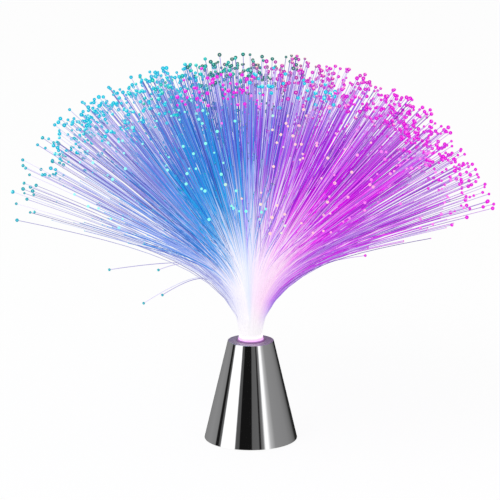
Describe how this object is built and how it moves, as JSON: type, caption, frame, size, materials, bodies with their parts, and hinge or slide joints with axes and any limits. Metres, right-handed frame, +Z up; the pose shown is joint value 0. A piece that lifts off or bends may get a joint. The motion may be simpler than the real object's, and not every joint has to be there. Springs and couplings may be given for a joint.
{
  "type": "fiber optic lamp",
  "caption": "Battery table lamp: a mirror-bright cone base lights a wide dome of fine optical fibres that lifts out and turns in its collar.",
  "frame": {"origin": "on the surface that the lamp stands on, under the middle of the cone: the centre of the foot ring's lower face", "axes": "+Z up along the cone's axis, -Y towards the viewer of the picture, +X to the viewer's right"},
  "size_m": [0.4006, 0.3758, 0.3287],
  "materials": {
    "chrome": "mirror-bright vacuum chrome on ABS",
    "collar": "clear acrylic lit pink from inside",
    "fibre": "clear polished PMMA fibre carrying violet-blue light",
    "sleeve": "plain drawn tube",
    "white_plastic": "fine matt moulding",
    "black_plastic": "fine spark-eroded texture",
    "foot": "matt foam rubber",
    "board": "solder-masked fibreglass",
    "chip": "epoxy package",
    "lens": "clear epoxy dome",
    "cell": "shrink-sleeved steel can",
    "contact": "nickel-plated spring steel",
    "steel": "zinc-plated",
    "phenolic": "phenolic paper board",
    "knob": "moulded nylon",
    "wire_black": "PVC insulation",
    "wire_red": "PVC insulation",
    "wire_yellow": "PVC insulation"
  },
  "bodies": {
    "base": {"cone_shell": "chrome", "light_housing": "white_plastic", "led_board": "board", "led_1": "lens", "led_2": "lens", "led_3": "lens", "control_chip": "chip", "chip_resistors": "chip", "board_screws": "steel", "housing_screws": "steel", "base_plate": "black_plastic", "base_screws": "steel", "foot_ring": "foot", "battery_cell_1": "cell", "battery_cell_2": "cell", "battery_cell_3": "cell", "contact_negative": "contact", "contact_bridge_1": "contact", "contact_bridge_2": "contact", "contact_positive": "contact", "switch_frame": "steel", "switch_base": "phenolic", "switch_screws": "steel", "wire_negative": "wire_black", "wire_positive": "wire_red", "wire_switched": "wire_yellow"},
    "collar": {"fibre_collar": "collar"},
    "spray": {"bundle_sleeve": "sleeve", "fibre_sector_1": "fibre", "fibre_sector_2": "fibre", "fibre_sector_3": "fibre", "fibre_sector_4": "fibre", "fibre_sector_5": "fibre", "fibre_sector_6": "fibre", "fibre_sector_7": "fibre", "fibre_sector_8": "fibre", "fibre_sector_9": "fibre"},
    "door": {"battery_door": "black_plastic"},
    "knob": {"switch_knob": "knob"}
  },
  "joints": [
    {"name": "collar_turn", "type": "hinge", "parent": "base", "child": "collar", "pos_m": [0, 0, 0.085], "axis": [0, 0, 1], "continuous": true},
    {"name": "spray_lift", "type": "slide", "parent": "collar", "child": "spray", "axis": [0, 0, 1], "range_m": [0, 0.03]},
    {"name": "door_hinge", "type": "hinge", "parent": "base", "child": "door", "pos_m": [-0.025, 0, 0.0016], "axis": [0, 1, 0], "range_deg": [0, 70]},
    {"name": "switch_slide", "type": "slide", "parent": "base", "child": "knob", "axis": [-1, 0, 0], "range_m": [0, 0.003]}
  ]
}
